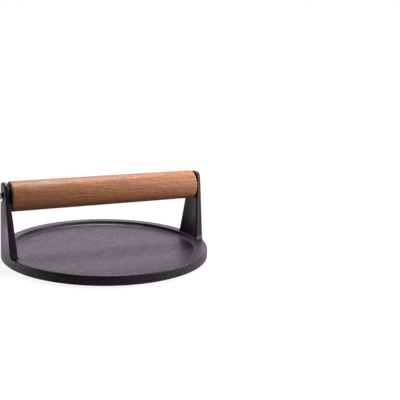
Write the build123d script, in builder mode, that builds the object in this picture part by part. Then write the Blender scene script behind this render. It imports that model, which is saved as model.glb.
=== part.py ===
"""Round cast-iron grill press with a wooden handle.

Frame: millimetres, +Z up, +X along the handle. The origin is at the middle of the press, on the
surface that its rib crests rest on.
"""
from build123d import *
from math import atan2, cos, hypot, pi, radians, sin, sqrt, tan
import os

os.makedirs("parts", exist_ok=True)

# Plate and rim
plate_radius = 111.0        # at the foot of the drafted side
side_draft = 0.6            # degrees, shared by the side of the plate and the outer faces of the ears
floor_thickness = 6.0
recess_depth = 4.2          # rim top to recess floor
rim_width = 11.0            # side of the plate to the edge of the recess
recess_draft = 22.0         # degrees, slope of the recess wall from the vertical
recess_cove = 4.2           # wall to floor
rim_inner_round = 0.8
rim_outer_round = 1.4       # also runs up the outer edges of the ears
foot_round = 1.0

# Ribs under the plate
rib_height = 1.8            # crest to the flat underside
rib_pitch = 14.02
rib_border = 11.5           # side of the plate to the circle that the rib ends stop on
rib_width = 4.8             # at the underside of the plate
rib_flank = 32.0            # degrees, slope of the flanks from the vertical
rib_crest_round = 0.5
rib_root_round = 0.5

# Ears
axis_height = 71.3          # handle axis above the rib crests
ear_root_width = 41.8       # at the rim top
ear_axis_width = 22.7       # at the handle axis
ear_root_thickness = 8.6    # at the rim top
ear_axis_thickness = 4.9    # at the handle axis
ear_tip_drop = 1.0          # ear tip below the top of the handle
ear_tip_round = 7.0         # corners of the tip, seen along the handle
ear_flare = 7.0             # radius where the ear's sides spread towards the rim
ear_foot_slope = 50.0       # degrees, slope of the spread side where it meets the rim top
ear_foot_round = 1.5        # all round the foot, where it meets the rim top
ear_edge_round = 1.2        # inner edges

# Handle
handle_diameter = 31.1
handle_end_gap = 0.3        # handle end to the nearest point of the ear
handle_end_round = 2.2      # turned edge at each end

# Screws, spring washers and thread inserts, one of each per end
screw_diameter = 5.0
screw_head_diameter = 10.0
screw_head_height = 3.8
head_edge_round = 1.5
cross_span = 5.4            # tip to tip of the cross recess
cross_width = 1.15
cross_depth = 2.3
cross_taper = 8.0           # degrees
screw_point_chamfer = 0.5
thread_engagement = 12.0    # screw tip behind the boss face
screw_hole_clearance = 0.25
counterbore_diameter = 11.0
counterbore_depth = 2.6
washer_thickness = 1.2
washer_diameter = 9.2
washer_gap = 0.8            # width of the split
washer_clearance = 0.15     # bore round the screw
boss_diameter = 14.0
insert_flange_diameter = 13.0
insert_flange_thickness = 1.5
insert_body_diameter = 9.0
insert_length = 15.0        # flange included
insert_slot_width = 1.6
insert_slot_depth = 1.0
bore_runout = 2.0           # handle bore beyond the insert or the screw tip
thread_clearance = 0.02     # screw in the insert
socket_clearance = 0.05     # insert in the handle

# Heights and radii
recess_radius = plate_radius - rim_width
rib_field_radius = plate_radius - rib_border
underside = rib_height
floor_top = underside + floor_thickness
rim_top = floor_top + recess_depth
handle_radius = handle_diameter / 2
ear_top = axis_height + handle_radius - ear_tip_drop


def outer_radius(z):
    """Radius of the drafted outer side at a height."""
    return plate_radius - (z - underside) * tan(radians(side_draft))


def ear_inner_radius(z):
    """Radius of the ear's inner face, which leans outwards as it rises."""
    at_root = outer_radius(rim_top) - ear_root_thickness
    at_axis = outer_radius(axis_height) - ear_axis_thickness
    return at_root + (at_axis - at_root) * (z - rim_top) / (axis_height - rim_top)


def ear_half_width(z):
    """Half the ear's width, seen along the handle, below its round tip."""
    slope = (ear_root_width - ear_axis_width) / 2 / (axis_height - rim_top)
    return ear_root_width / 2 - slope * (z - rim_top)


def on_outer_side(edge):
    """An edge of the drafted outer side, at the rim top or above it."""
    middle = edge @ 0.5
    return middle.Z > rim_top - 0.01 and abs(hypot(middle.X, middle.Y) - outer_radius(middle.Z)) < 0.02


def on_ear_inner_face(edge):
    """An edge round an ear's inner face, from the rim top up over the tip."""
    middle = edge @ 0.5
    return middle.Z > rim_top + 0.01 and abs(hypot(middle.X, middle.Y) - ear_inner_radius(middle.Z)) < 0.02


def on_ear_foot(edge):
    """An edge where an ear's sides and inner face meet the rim top."""
    middle = edge @ 0.5
    radius = hypot(middle.X, middle.Y)
    inside_rim = ear_inner_radius(rim_top) - 0.01 < radius < outer_radius(rim_top) - 0.01
    return inside_rim and abs(middle.Z - rim_top) < 0.01


def on_rib_foot(edge):
    """An edge where a rib's flank meets the flat underside."""
    middle = edge @ 0.5
    inboard = hypot(middle.X, middle.Y) < rib_field_radius + rib_width
    return inboard and abs(middle.Z - underside) < 0.01


def across(side, distance):
    """Plane square to the handle axis, facing out of one end, at a distance from the middle."""
    return Plane(origin=(side * distance, 0, axis_height), x_dir=(0, 1, 0), z_dir=(side, 0, 0))


# Seats along the handle axis, measured from the middle of the press
ends = {"left": -1, "right": 1}
handle_low = axis_height - handle_radius + handle_end_round
handle_end = sqrt(ear_inner_radius(handle_low) ** 2 - ear_half_width(handle_low) ** 2) - handle_end_gap
boss_face = handle_end + insert_flange_thickness
counterbore_face = outer_radius(axis_height) - counterbore_depth
head_face = counterbore_face + washer_thickness
screw_tip = boss_face - thread_engagement
screw_reach = handle_end - screw_tip

# The casting: plate, rim and both ears are turned as one cup, then the cup is cut down to the rim top
# everywhere but at the ears.
wall_run = recess_depth * tan(radians(recess_draft))
flank = atan2((ear_root_width - ear_axis_width) / 2, axis_height - rim_top)
foot_slope = radians(ear_foot_slope)
foot_run = ear_flare * tan((pi / 2 - flank - foot_slope) / 2) + 2 * ear_foot_round * tan(foot_slope / 2)
foot_rise = foot_run * sin(foot_slope)
spread_half_width = ear_half_width(rim_top + foot_rise)
foot_half_width = spread_half_width + foot_run * cos(foot_slope)
cup_top = ear_top + ear_axis_thickness
with BuildPart() as casting:
    with BuildSketch(Plane.YZ):
        with BuildLine():
            FilletPolyline(
                (0, underside),
                (plate_radius, underside),
                (outer_radius(cup_top), cup_top),
                (ear_inner_radius(cup_top), cup_top),
                (ear_inner_radius(rim_top), rim_top),
                (recess_radius, rim_top),
                (recess_radius - wall_run, floor_top),
                (0, floor_top),
                radius=(0, foot_round, 0, 0, 0, rim_inner_round, recess_cove, 0),
                close=True,
            )
        make_face()
    revolve(axis=Axis.Z)
    with BuildSketch(Plane.YZ):
        with BuildLine():
            FilletPolyline(
                (-plate_radius, rim_top),
                (-foot_half_width, rim_top),
                (-spread_half_width, rim_top + foot_rise),
                (-ear_half_width(ear_top), ear_top),
                (ear_half_width(ear_top), ear_top),
                (spread_half_width, rim_top + foot_rise),
                (foot_half_width, rim_top),
                (plate_radius, rim_top),
                (plate_radius, 2 * ear_top),
                (-plate_radius, 2 * ear_top),
                radius=(0, 0, ear_flare, ear_tip_round, ear_tip_round, ear_flare, 0, 0, 0, 0),
                close=True,
            )
        make_face()
    extrude(amount=plate_radius, both=True, mode=Mode.SUBTRACT)
    fillet(casting.edges().filter_by(on_ear_inner_face), ear_edge_round)
    fillet(casting.edges().filter_by(on_ear_foot), ear_foot_round)
    fillet(casting.edges().filter_by(on_outer_side), rim_outer_round)

    # Ribs, square to the handle, their ends on one circle
    ribs_each_side = int(sqrt(rib_field_radius**2 - (2 * rib_width) ** 2) / rib_pitch)
    with BuildSketch(Plane.XY.offset(underside)) as rib_feet:
        for step in range(-ribs_each_side, ribs_each_side + 1):
            offset_x = step * rib_pitch
            reach = sqrt(rib_field_radius**2 - offset_x**2)
            with Locations((offset_x, 0)):
                SlotOverall(2 * reach, rib_width, rotation=90)
    extrude(amount=-rib_height, taper=rib_flank)
    crests = casting.faces().filter_by(Axis.Z).group_by(Axis.Z)[0]
    fillet(crests.edges(), rib_crest_round)
    fillet(casting.edges().filter_by(on_rib_foot), rib_root_round)

    # Boss, screw hole and counterbore at the handle axis
    for side in ends.values():
        with BuildSketch(across(side, boss_face)):
            Circle(boss_diameter / 2)
        extrude(amount=counterbore_face - boss_face)
        with BuildSketch(across(side, boss_face)):
            Circle(boss_diameter / 2)
        extrude(amount=-ear_axis_thickness, mode=Mode.SUBTRACT)
        with BuildSketch(across(side, boss_face)):
            Circle(screw_diameter / 2 + screw_hole_clearance)
        extrude(amount=ear_axis_thickness, mode=Mode.SUBTRACT)
        with BuildSketch(across(side, counterbore_face)):
            Circle(counterbore_diameter / 2)
        extrude(amount=ear_axis_thickness, mode=Mode.SUBTRACT)
casting.part.label = "press_casting"
export_step(casting.part, "parts/press_casting.step")

# The handle: a turned bar with a blind bore for the insert in each end
bore_end = handle_end - max(insert_length - insert_flange_thickness, screw_reach) - bore_runout
with BuildPart() as handle:
    with BuildSketch(across(1, -handle_end)):
        Circle(handle_radius)
    extrude(amount=2 * handle_end)
    fillet(handle.edges().filter_by(GeomType.CIRCLE), handle_end_round)
    for side in ends.values():
        with BuildSketch(across(side, bore_end)):
            Circle(insert_body_diameter / 2 + socket_clearance)
        extrude(amount=handle_end - bore_end, mode=Mode.SUBTRACT)
handle.part.label = "wooden_handle"
export_step(handle.part, "parts/wooden_handle.step")

for end, side in ends.items():
    # Thread insert: pressed into the bore, its flange between the handle's end and the boss
    with BuildPart() as insert:
        with BuildSketch(across(side, handle_end)):
            Circle(insert_flange_diameter / 2)
        extrude(amount=insert_flange_thickness)
        with BuildSketch(across(side, boss_face - insert_length)):
            Circle(insert_body_diameter / 2)
        extrude(amount=insert_length - insert_flange_thickness)
        with BuildSketch(across(side, boss_face - insert_length)):
            Circle(screw_diameter / 2 + thread_clearance)
        extrude(amount=insert_length, mode=Mode.SUBTRACT)
        with BuildSketch(across(side, boss_face - insert_slot_depth)):
            Rectangle(insert_flange_diameter, insert_slot_width)
        extrude(amount=insert_slot_depth, mode=Mode.SUBTRACT)
    insert.part.label = "thread_insert_" + end
    export_step(insert.part, f"parts/thread_insert_{end}.step")

    # Spring washer: a split ring on the floor of the counterbore
    with BuildPart() as washer:
        with BuildSketch(across(side, counterbore_face)):
            Circle(washer_diameter / 2)
            Circle(screw_diameter / 2 + washer_clearance, mode=Mode.SUBTRACT)
            with Locations((washer_diameter / 2, 0)):
                Rectangle(washer_diameter, washer_gap, mode=Mode.SUBTRACT)
        extrude(amount=washer_thickness)
    washer.part.label = "spring_washer_" + end
    export_step(washer.part, f"parts/spring_washer_{end}.step")

    # Screw: pan head with a cross recess, plain shank at the thread's outer diameter
    with BuildPart() as screw:
        with BuildSketch(across(side, head_face)):
            Circle(screw_head_diameter / 2)
        extrude(amount=screw_head_height)
        fillet(screw.edges().sort_by(Axis.X)[-1 if side > 0 else 0], head_edge_round)
        with BuildSketch(across(side, head_face + screw_head_height)):
            Rectangle(cross_span, cross_width)
            Rectangle(cross_width, cross_span)
        extrude(amount=-cross_depth, taper=cross_taper, mode=Mode.SUBTRACT)
        with BuildSketch(across(side, screw_tip)):
            Circle(screw_diameter / 2)
        extrude(amount=head_face - screw_tip)
        chamfer(screw.edges().sort_by(Axis.X)[0 if side > 0 else -1], screw_point_chamfer)
    screw.part.label = "handle_screw_" + end
    export_step(screw.part, f"parts/handle_screw_{end}.step")
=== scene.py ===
"""Looks of the round grill press: camera, cast iron, beech handle, steel fixings, floor and light."""
from math import radians

import bpy
from mathutils import Matrix, Vector

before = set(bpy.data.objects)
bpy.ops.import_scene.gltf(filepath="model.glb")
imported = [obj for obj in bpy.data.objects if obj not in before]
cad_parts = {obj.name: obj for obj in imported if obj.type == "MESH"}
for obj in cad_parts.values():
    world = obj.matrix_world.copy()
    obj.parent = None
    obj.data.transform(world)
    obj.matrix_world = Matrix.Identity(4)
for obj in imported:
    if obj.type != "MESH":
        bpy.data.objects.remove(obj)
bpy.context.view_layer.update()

# Camera. It stands a little above the press and to its left, where the photograph was taken from.
# The small shift is the photograph's own, because the press stands left of the middle of the frame.
camera_place = (-0.26623, -0.69909, 0.22561)
camera_turn = 24.541     # degrees from +Y towards +X
camera_tilt = -12.82     # degrees from the level
camera_roll = 1.13
camera_data = bpy.data.cameras.new("camera")
camera_data.lens = 64.244
camera_data.shift_x = 0.125
camera_data.shift_y = 0.0125
camera_data.clip_start = 0.01
camera = bpy.data.objects.new("camera", camera_data)
bpy.context.scene.collection.objects.link(camera)
camera.matrix_world = (
    Matrix.Translation(camera_place)
    @ Matrix.Rotation(radians(-camera_turn), 4, "Z")
    @ Matrix.Rotation(radians(90 + camera_tilt), 4, "X")
    @ Matrix.Rotation(radians(camera_roll), 4, "Z")
)
bpy.context.scene.camera = camera


# The casting. Plate, rim, ears and ribs are one piece of grey iron, cast in fine sand and then
# seasoned with oil: a matt, finely grained dark skin, patchy in its sheen, rubbed bright on the ribs.
def add(tree, kind, **values):
    """A shader node; a key is an attribute or, with a capital letter, an input."""
    node = tree.nodes.new(kind)
    for key, value in values.items():
        if key[0].isupper():
            node.inputs[key.replace("_", " ")].default_value = value
        else:
            setattr(node, key, value)
    return node


def fill(tree, socket, value):
    """Sets an input to a number or links it to an output."""
    if isinstance(value, bpy.types.NodeSocket):
        tree.links.new(value, socket)
    else:
        socket.default_value = value


def calc(tree, operation, first, second=0.0):
    node = add(tree, "ShaderNodeMath", operation=operation)
    fill(tree, node.inputs[0], first)
    fill(tree, node.inputs[1], second)
    return node.outputs[0]


def grade(tree, value, low, high, at_low=0.0, at_high=1.0):
    """Maps a value from one range to another and holds it at the ends."""
    node = add(tree, "ShaderNodeMapRange", interpolation_type="SMOOTHSTEP")
    for socket, number in zip(node.inputs, (value, low, high, at_low, at_high)):
        fill(tree, socket, number)
    return node.outputs[0]


def blend(tree, factor, first, second):
    """Mixes two colours, each an output or a tuple."""
    node = add(tree, "ShaderNodeMix", data_type="RGBA")
    fill(tree, node.inputs[0], factor)
    for socket, colour in ((node.inputs[6], first), (node.inputs[7], second)):
        fill(tree, socket, (*colour, 1) if isinstance(colour, tuple) else colour)
    return node.outputs[2]


def grain(tree, place, size, detail=2.0, roughness=0.5, offset=(0, 0, 0)):
    """Noise from 0 to 1 with features of a size in metres: one number, or one along each axis."""
    sizes = size if isinstance(size, tuple) else (size, size, size)
    scaled = add(tree, "ShaderNodeMapping", vector_type="POINT")
    scaled.inputs["Location"].default_value = offset
    scaled.inputs["Scale"].default_value = [1 / s for s in sizes]
    tree.links.new(place, scaled.inputs["Vector"])
    texture = add(tree, "ShaderNodeTexNoise", Scale=1.0, Detail=detail, Roughness=roughness)
    tree.links.new(scaled.outputs[0], texture.inputs["Vector"])
    return texture.outputs["Fac"]


def bump(tree, height, depth, under=None):
    """A normal from a height of 0 to 1 that is so many metres deep, laid over another normal."""
    node = add(tree, "ShaderNodeBump", Distance=depth)
    tree.links.new(height, node.inputs["Height"])
    if under is not None:
        tree.links.new(under, node.inputs["Normal"])
    return node.outputs[0]


def finish(name, **plain):
    """A material with its tree, its shader and the place on the object; keys are plain inputs."""
    material = bpy.data.materials.new(name)
    material.use_nodes = True
    tree = material.node_tree
    tree.nodes.clear()
    shader = add(tree, "ShaderNodeBsdfPrincipled", **plain)
    tree.links.new(shader.outputs[0], add(tree, "ShaderNodeOutputMaterial").inputs["Surface"])
    return material, tree, shader, add(tree, "ShaderNodeTexCoord").outputs["Object"]


smudges = bpy.data.node_groups.new("smudges", "ShaderNodeTree")
smudges.interface.new_socket("Least", in_out="INPUT", socket_type="NodeSocketFloat")
smudges.interface.new_socket("Most", in_out="INPUT", socket_type="NodeSocketFloat")
smudges.interface.new_socket("Roughness", in_out="OUTPUT", socket_type="NodeSocketFloat")
smudge_in, smudge_out = smudges.nodes.new("NodeGroupInput"), smudges.nodes.new("NodeGroupOutput")
smudge_place = add(smudges, "ShaderNodeTexCoord").outputs["Object"]
wiped = grade(smudges, grain(smudges, smudge_place, 0.014, 4.0, 0.6), 0.32, 0.68)
smudges.links.new(
    grade(smudges, wiped, 0, 1, smudge_in.outputs["Least"], smudge_in.outputs["Most"]),
    smudge_out.inputs["Roughness"],
)


def smudged(tree, least, most):
    """The roughness of a surface that hands and cloths have touched, between two values."""
    node = tree.nodes.new("ShaderNodeGroup")
    node.node_tree = smudges
    node.inputs["Least"].default_value = least
    node.inputs["Most"].default_value = most
    return node.outputs["Roughness"]


iron_dark, iron_light = (0.006, 0.005, 0.0066), (0.034, 0.028, 0.037)
iron_rubbed = (0.090, 0.081, 0.092)
crest_height = 0.0004            # metres over the table that are rubbed bright
wave_depth, sand_depth, fine_sand_depth = 0.00035, 0.00016, 0.00005
iron, tree, shader, place = finish(
    "cast_iron", IOR=1.40, Specular_Tint=(1.0, 0.64, 1.0, 1),
    Coat_Roughness=0.34, Coat_IOR=1.36, Coat_Tint=(0.96, 0.88, 0.98, 1))
clouds = grain(tree, place, 0.022, 3.0, 0.55)
sand = grain(tree, place, 0.0011, 3.0, 0.65)
fine_sand = grain(tree, place, 0.00045, 1.0, 0.5, (3.1, 7.7, 1.3))
grit = grain(tree, place, 0.0026, 3.0, 0.7, (6.1, 2.4, 8.8))
tree.links.new(grade(tree, grit, 0.34, 0.66, 0.45, 1.0), shader.inputs["Coat Weight"])
tone = calc(tree, "ADD", calc(tree, "MULTIPLY", clouds, 0.3), calc(
    tree, "ADD", calc(tree, "MULTIPLY", grit, 0.4), calc(tree, "MULTIPLY", sand, 0.3)))
height_over_floor = add(tree, "ShaderNodeSeparateXYZ")
tree.links.new(place, height_over_floor.inputs[0])
rubbed = calc(
    tree, "MULTIPLY",
    grade(tree, height_over_floor.outputs["Z"], 0.0, crest_height, 1.0, 0.0),
    grade(tree, clouds, 0.35, 0.6, 0.4, 1.0),
)
skin = blend(tree, grade(tree, tone, 0.33, 0.66), iron_dark, iron_light)
tree.links.new(blend(tree, rubbed, skin, iron_rubbed), shader.inputs["Base Color"])
rough = calc(tree, "ADD", smudged(tree, 0.46, 0.54), calc(tree, "MULTIPLY", fine_sand, 0.08))
rough = calc(tree, "SUBTRACT", rough, calc(tree, "MULTIPLY", rubbed, 0.12))
tree.links.new(rough, shader.inputs["Roughness"])
waves = bump(tree, grain(tree, place, 0.016, 1.0), wave_depth)
rough_sand = bump(tree, sand, sand_depth, waves)
tree.links.new(bump(tree, fine_sand, fine_sand_depth, rough_sand), shader.inputs["Normal"])
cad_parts["press_casting"].material_slots[0].material = iron

# The handle. A bar of close-grained beech, turned, rounded at its ends and oiled.
# The growth rings run the length of the bar, with the short dark flecks that beech shows.
wood_pale, wood_mid, wood_dark = (0.69, 0.320, 0.165), (0.54, 0.206, 0.090), (0.26, 0.078, 0.030)
# The end grain colour is oiled end grain and also painted shade of the narrow gap between each end and
# its ear.
wood_end_and_gap_shade = (0.085, 0.032, 0.017)
axis_height = 0.0713             # metres over the floor
pith_back, pith_down = 0.034, 0.026      # metres from the bar's axis to the middle of the tree
ring_gap, ring_tilt, ring_waver = 0.0021, 0.03, 4.0
end_face = 0.1035                # metres from the middle to the end grain, which soaks up the most oil; its near-black colour is also painted shade of the narrow gap at each ear
pore_depth, fibre_depth = 0.00010, 0.00020
beech, tree, shader, place = finish("beech", IOR=1.46)
parts = add(tree, "ShaderNodeSeparateXYZ")
tree.links.new(place, parts.inputs[0])
wander = grain(tree, place, (0.11, 0.016, 0.016), 2.0, 0.5)
back_way = calc(tree, "SUBTRACT", parts.outputs["Y"], pith_back)
up_way = calc(tree, "SUBTRACT", parts.outputs["Z"], axis_height - pith_down)
far_out = calc(tree, "SQRT", calc(
    tree, "ADD", calc(tree, "MULTIPLY", back_way, back_way), calc(tree, "MULTIPLY", up_way, up_way)))
tilted = calc(tree, "ADD", far_out, calc(tree, "MULTIPLY", parts.outputs["X"], ring_tilt))
years = calc(
    tree, "ADD", calc(tree, "DIVIDE", tilted, ring_gap), calc(tree, "MULTIPLY", wander, ring_waver))
late_wood = grade(tree, calc(tree, "PINGPONG", years, 0.5), 0.08, 0.5)
fibres = grain(tree, place, (0.030, 0.0009, 0.0009), 3.0, 0.6)
fine_fibres = grain(tree, place, (0.007, 0.00032, 0.00032), 2.0, 0.6, (5.3, 1.9, 8.2))
short_fibres = grain(tree, place, (0.0042, 0.0011, 0.0011), 3.0, 0.65, (1.7, 6.2, 3.9))
flecks = grade(tree, grain(tree, place, (0.0050, 0.0011, 0.0011), 1.0, 0.5, (2.2, 9.4, 4.1)), 0.58, 0.68)
broad = grain(tree, place, (0.09, 0.014, 0.014), 2.0, 0.5, (7.5, 3.2, 6.6))
paler_with_painted_light = grade(tree, parts.outputs["X"], -0.09, 0.10, -0.15, -0.18)     # painted light: the bar is a little paler towards its right end, where the lamp at its right front falls
tone = calc(tree, "ADD", paler_with_painted_light, calc(
    tree, "ADD",
    calc(tree, "ADD", calc(tree, "MULTIPLY", late_wood, 0.12), calc(tree, "MULTIPLY", fibres, 0.26)),
    calc(tree, "ADD", calc(tree, "MULTIPLY", short_fibres, 0.78), calc(
        tree, "ADD", calc(tree, "MULTIPLY", fine_fibres, 0.18), calc(tree, "MULTIPLY", broad, 0.20)))))
timber = blend(tree, grade(tree, tone, 0.26, 0.66), wood_pale, wood_mid)
timber = blend(tree, grade(tree, tone, 0.56, 1.0), timber, wood_dark)
timber = blend(tree, calc(tree, "MULTIPLY", flecks, 0.55), timber, wood_dark)
# The ends of the bar are painted near black: oiled end grain, and painted shade of the gap at each ear.
end_grain_and_gap_shade = grade(tree, calc(tree, "ABSOLUTE", parts.outputs["X"]), end_face - 0.0003, end_face - 0.0001)
timber = blend(tree, end_grain_and_gap_shade, timber, wood_end_and_gap_shade)
tree.links.new(timber, shader.inputs["Base Color"])
tree.links.new(
    calc(tree, "ADD", smudged(tree, 0.32, 0.42), calc(tree, "MULTIPLY", short_fibres, 0.16)),
    shader.inputs["Roughness"],
)
pores = calc(tree, "ADD", calc(tree, "MULTIPLY", fine_fibres, -0.6), calc(tree, "MULTIPLY", flecks, -0.4))
fibre_relief = bump(tree, short_fibres, fibre_depth)
tree.links.new(bump(tree, pores, pore_depth, fibre_relief), shader.inputs["Normal"])
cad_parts["wooden_handle"].material_slots[0].material = beech

# Fixings. Each end of the handle has a flanged thread insert, a split spring washer and a pan-head
# screw with a cross recess: turned or rolled steel, plated, with fine rings from the tool.
tool_mark_depth = 0.000012
turned = bpy.data.node_groups.new("turned_rings", "ShaderNodeTree")
turned.interface.new_socket("Spacing", in_out="INPUT", socket_type="NodeSocketFloat")
turned.interface.new_socket("Rings", in_out="OUTPUT", socket_type="NodeSocketFloat")
turned_in, turned_out = turned.nodes.new("NodeGroupInput"), turned.nodes.new("NodeGroupOutput")
parts = add(turned, "ShaderNodeSeparateXYZ")
turned.links.new(add(turned, "ShaderNodeTexCoord").outputs["Object"], parts.inputs[0])
rise = calc(turned, "SUBTRACT", parts.outputs["Z"], axis_height)
from_axis = calc(turned, "SQRT", calc(
    turned, "ADD", calc(turned, "MULTIPLY", parts.outputs["Y"], parts.outputs["Y"]),
    calc(turned, "MULTIPLY", rise, rise)))
rings = add(turned, "ShaderNodeTexNoise", noise_dimensions="1D", Scale=1.0, Detail=2.0)
turned.links.new(calc(turned, "DIVIDE", from_axis, turned_in.outputs["Spacing"]), rings.inputs["W"])
turned.links.new(rings.outputs["Fac"], turned_out.inputs["Rings"])


def plated(name, bright, dull, spacing, least, most):
    """Plated steel with turned rings, between a bright and a dull tone."""
    material, tree, shader, place = finish(name, Metallic=1.0)
    marks = tree.nodes.new("ShaderNodeGroup")
    marks.node_tree = turned
    marks.inputs["Spacing"].default_value = spacing
    haze = grade(tree, grain(tree, place, 0.0016, 3.0, 0.6), 0.35, 0.7)
    tree.links.new(blend(tree, haze, bright, dull), shader.inputs["Base Color"])
    tree.links.new(
        calc(tree, "ADD", smudged(tree, least, most), calc(tree, "MULTIPLY", haze, 0.08)),
        shader.inputs["Roughness"])
    tree.links.new(bump(tree, marks.outputs["Rings"], tool_mark_depth), shader.inputs["Normal"])
    return material


screw_steel = plated("nickel_plate", (0.78, 0.76, 0.72), (0.62, 0.60, 0.57), 0.00025, 0.18, 0.28)
washer_steel = plated("spring_steel", (0.58, 0.58, 0.57), (0.42, 0.42, 0.41), 0.0003, 0.30, 0.42)
insert_steel = plated("zinc_plate", (0.42, 0.41, 0.39), (0.30, 0.29, 0.27), 0.0002, 0.32, 0.44)
for end in ("left", "right"):
    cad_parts["handle_screw_" + end].material_slots[0].material = screw_steel
    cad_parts["spring_washer_" + end].material_slots[0].material = washer_steel
    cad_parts["thread_insert_" + end].material_slots[0].material = insert_steel

# Floor. A plain white studio floor that runs out to a white background and keeps a soft shadow.
# The camera sees it lifted to white, and polished metal sees it white behind the press.
away_from_camera = (0.415, 0.910, 0.0)
floor_half = 6.0
white_near, white_far, white_mirrored = 0.9, 1.0, 0.42


def behind(tree, vector, near, far):
    """From 0 before the press to 1 behind it, as seen from the camera's side."""
    node = add(tree, "ShaderNodeVectorMath", operation="DOT_PRODUCT")
    tree.links.new(vector, node.inputs[0])
    node.inputs[1].default_value = away_from_camera
    return grade(tree, node.outputs["Value"], near, far)


floor_mesh = bpy.data.meshes.new("floor")
corners = [(-floor_half, -floor_half, 0), (floor_half, -floor_half, 0), (floor_half, floor_half, 0),
           (-floor_half, floor_half, 0)]
floor_mesh.from_pydata(corners, [], [(0, 1, 2, 3)])
floor = bpy.data.objects.new("floor", floor_mesh)
bpy.context.scene.collection.objects.link(floor)
paper = bpy.data.materials.new("studio_floor")
paper.use_nodes = True
tree = paper.node_tree
tree.nodes.clear()
matt = add(tree, "ShaderNodeBsdfDiffuse", Color=(0.12, 0.12, 0.12, 1))
glow = add(tree, "ShaderNodeEmission", Color=(1, 1, 1, 1))
ray = add(tree, "ShaderNodeLightPath")
straight = calc(tree, "MAXIMUM", ray.outputs["Is Camera Ray"], ray.outputs["Is Transmission Ray"])
spot = add(tree, "ShaderNodeTexCoord").outputs["Object"]
distance = add(tree, "ShaderNodeVectorMath", operation="LENGTH")
tree.links.new(spot, distance.inputs[0])
whiteness = grade(tree, distance.outputs["Value"], 0.2, 0.9, white_near, white_far)
mirrored = calc(tree, "MULTIPLY", ray.outputs["Is Glossy Ray"], behind(tree, spot, -0.25, 0.0))
tree.links.new(calc(
    tree, "ADD", calc(tree, "MULTIPLY", straight, whiteness),
    calc(tree, "MULTIPLY", mirrored, white_mirrored)), glow.inputs["Strength"])
both = add(tree, "ShaderNodeAddShader")
tree.links.new(matt.outputs[0], both.inputs[0])
tree.links.new(glow.outputs[0], both.inputs[1])
tree.links.new(both.outputs[0], add(tree, "ShaderNodeOutputMaterial").inputs["Surface"])
floor_mesh.materials.append(paper)

# Light. A long soft box over the press and a little behind it, a smaller one at its right front, a thin
# strip low at its left that lights the side of the plate, and a white backdrop opposite the camera.
lit_by_backdrop, seen_in_gloss = 0.7, 1.0
bpy.context.scene.view_settings.view_transform = "Standard"
world = bpy.data.worlds.new("studio")
bpy.context.scene.world = world
world.use_nodes = True
tree = world.node_tree
tree.nodes.clear()
ray = add(tree, "ShaderNodeLightPath")
straight = calc(tree, "MAXIMUM", ray.outputs["Is Camera Ray"], ray.outputs["Is Transmission Ray"])
backdrop = behind(tree, add(tree, "ShaderNodeTexCoord").outputs["Generated"], 0.5, 0.9)
share = grade(tree, ray.outputs["Is Glossy Ray"], 0.0, 1.0, lit_by_backdrop, seen_in_gloss)
sky = add(tree, "ShaderNodeBackground", Color=(1, 1, 1, 1))
tree.links.new(
    calc(tree, "MAXIMUM", straight, calc(tree, "MULTIPLY", backdrop, share)), sky.inputs["Strength"])
tree.links.new(sky.outputs[0], add(tree, "ShaderNodeOutputWorld").inputs["Surface"])


def soft_box(name, place, target, width, height, power):
    """A rectangular lamp of a width, height and power in watts that faces a target."""
    data = bpy.data.lights.new(name, "AREA")
    data.shape, data.size, data.size_y, data.energy = "RECTANGLE", width, height, power
    lamp = bpy.data.objects.new(name, data)
    lamp.visible_camera = False
    bpy.context.scene.collection.objects.link(lamp)
    away = Vector(place) - Vector(target)
    lamp.matrix_world = Matrix.Translation(place) @ away.to_track_quat("Z", "Y").to_matrix().to_4x4()


soft_box("box_over", (0.25, 0.42, 1.32), (0, 0, 0.05), 0.45, 0.40, 17)
soft_box("box_right", (0.43, -0.28, 0.27), (0.08, 0, 0.06), 0.40, 0.36, 2.9)
soft_box("box_left", (-0.21, 0.03, 0.008), (-0.11, -0.03, 0.007), 0.14, 0.012, 0.05)
